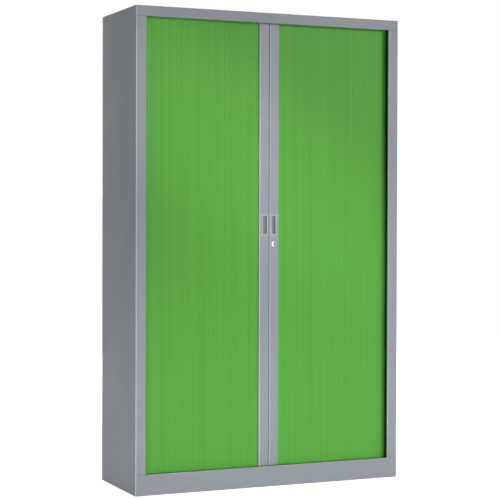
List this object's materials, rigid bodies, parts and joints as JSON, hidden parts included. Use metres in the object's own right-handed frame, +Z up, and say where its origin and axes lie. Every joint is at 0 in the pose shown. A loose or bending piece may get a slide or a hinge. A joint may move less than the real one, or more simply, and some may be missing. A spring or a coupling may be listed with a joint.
{
  "type": "roll front tool cabinet",
  "caption": "Tall steel tambour cupboard: ribbed flexible curtains part sideways on handle bars with finger cups and a lock, over adjustable shelves and levelling feet.",
  "frame": {"origin": "on the floor under the middle of the cabinet's box", "axes": "+Z up; +Y towards the back, so the curtains face -Y; +X to the right seen from the front"},
  "size_m": [1.2, 0.43, 1.98],
  "materials": {
    "body_paint": "aluminium grey powder coat, satin",
    "bar_paint": "aluminium grey powder coat, satin",
    "curtain_plastic": "matte green plastic",
    "track_plastic": "matte dark grey plastic",
    "cup_plastic": "satin silver grey plastic",
    "nickel": "bright nickel plate",
    "zinc_steel": "zinc plate",
    "rubber": "black rubber"
  },
  "bodies": {
    "carcass": {"left_side_panel": "body_paint", "right_side_panel": "body_paint", "top_panel": "body_paint", "bottom_panel": "body_paint", "plinth": "body_paint", "left_back_panel": "body_paint", "right_back_panel": "body_paint", "left_liner": "body_paint", "right_liner": "body_paint", "back_liner": "body_paint", "left_bottom_track": "track_plastic", "right_bottom_track": "track_plastic", "left_top_track": "track_plastic", "right_top_track": "track_plastic", "left_curtain": "curtain_plastic", "right_curtain": "curtain_plastic", "stop_buffers": "rubber", "left_front_shelf_standard": "zinc_steel", "right_front_shelf_standard": "zinc_steel", "left_rear_shelf_standard": "zinc_steel", "right_rear_shelf_standard": "zinc_steel", "shelf_1": "body_paint", "shelf_2": "body_paint", "shelf_3": "body_paint", "shelf_4": "body_paint", "shelf_clips": "zinc_steel", "left_base_channel": "zinc_steel", "right_base_channel": "zinc_steel", "foot_nuts": "zinc_steel", "hole_plugs": "track_plastic"},
    "left_shutter": {"left_lead_bar": "bar_paint", "left_bar_glides": "track_plastic", "left_finger_cup": "cup_plastic", "lock_keeper": "zinc_steel", "keeper_screws": "zinc_steel"},
    "right_shutter": {"right_lead_bar": "bar_paint", "right_bar_glides": "track_plastic", "right_finger_cup": "cup_plastic", "lock_housing": "nickel", "lock_nut": "nickel"},
    "lock": {"lock_plug": "nickel", "lock_hook": "zinc_steel", "hook_screw": "zinc_steel"},
    "front_left_foot": {"front_left_foot_pad": "track_plastic"},
    "front_left_screw": {"front_left_foot_screw": "zinc_steel"},
    "front_right_foot": {"front_right_foot_pad": "track_plastic"},
    "front_right_screw": {"front_right_foot_screw": "zinc_steel"},
    "rear_left_foot": {"rear_left_foot_pad": "track_plastic"},
    "rear_left_screw": {"rear_left_foot_screw": "zinc_steel"},
    "rear_right_foot": {"rear_right_foot_pad": "track_plastic"},
    "rear_right_screw": {"rear_right_foot_screw": "zinc_steel"}
  },
  "joints": [
    {"name": "left_shutter_slide", "type": "slide", "parent": "carcass", "child": "left_shutter", "axis": [-1, 0, 0], "range_m": [0, 0.504], "deforming": ["left_curtain"]},
    {"name": "right_shutter_slide", "type": "slide", "parent": "carcass", "child": "right_shutter", "axis": [1, 0, 0], "range_m": [0, 0.504], "deforming": ["right_curtain"]},
    {"name": "lock_turn", "type": "hinge", "parent": "right_shutter", "child": "lock", "pos_m": [0.0219, -0.178, 1.016], "axis": [0, -1, 0], "range_deg": [0, 90]},
    {"name": "front_left_foot_lift", "type": "slide", "parent": "carcass", "child": "front_left_foot", "axis": [0, 0, -1], "range_m": [0, 0.015]},
    {"name": "front_left_foot_turn", "type": "hinge", "parent": "front_left_foot", "child": "front_left_screw", "pos_m": [-0.53, -0.155, 0.03], "axis": [0, 0, -1], "range_deg": [0, 3601]},
    {"name": "front_right_foot_lift", "type": "slide", "parent": "carcass", "child": "front_right_foot", "axis": [0, 0, -1], "range_m": [0, 0.015]},
    {"name": "front_right_foot_turn", "type": "hinge", "parent": "front_right_foot", "child": "front_right_screw", "pos_m": [0.53, -0.155, 0.03], "axis": [0, 0, -1], "range_deg": [0, 3601]},
    {"name": "rear_left_foot_lift", "type": "slide", "parent": "carcass", "child": "rear_left_foot", "axis": [0, 0, -1], "range_m": [0, 0.015]},
    {"name": "rear_left_foot_turn", "type": "hinge", "parent": "rear_left_foot", "child": "rear_left_screw", "pos_m": [-0.53, 0.155, 0.03], "axis": [0, 0, -1], "range_deg": [0, 3601]},
    {"name": "rear_right_foot_lift", "type": "slide", "parent": "carcass", "child": "rear_right_foot", "axis": [0, 0, -1], "range_m": [0, 0.015]},
    {"name": "rear_right_foot_turn", "type": "hinge", "parent": "rear_right_foot", "child": "rear_right_screw", "pos_m": [0.53, 0.155, 0.03], "axis": [0, 0, -1], "range_deg": [0, 3601]}
  ],
  "couplings": [
    {"joint": "front_left_foot_turn", "follows": "front_left_foot_lift", "rad_per_m": 4188.8},
    {"joint": "front_right_foot_turn", "follows": "front_right_foot_lift", "rad_per_m": 4188.8},
    {"joint": "rear_left_foot_turn", "follows": "rear_left_foot_lift", "rad_per_m": 4188.8},
    {"joint": "rear_right_foot_turn", "follows": "rear_right_foot_lift", "rad_per_m": 4188.8}
  ]
}
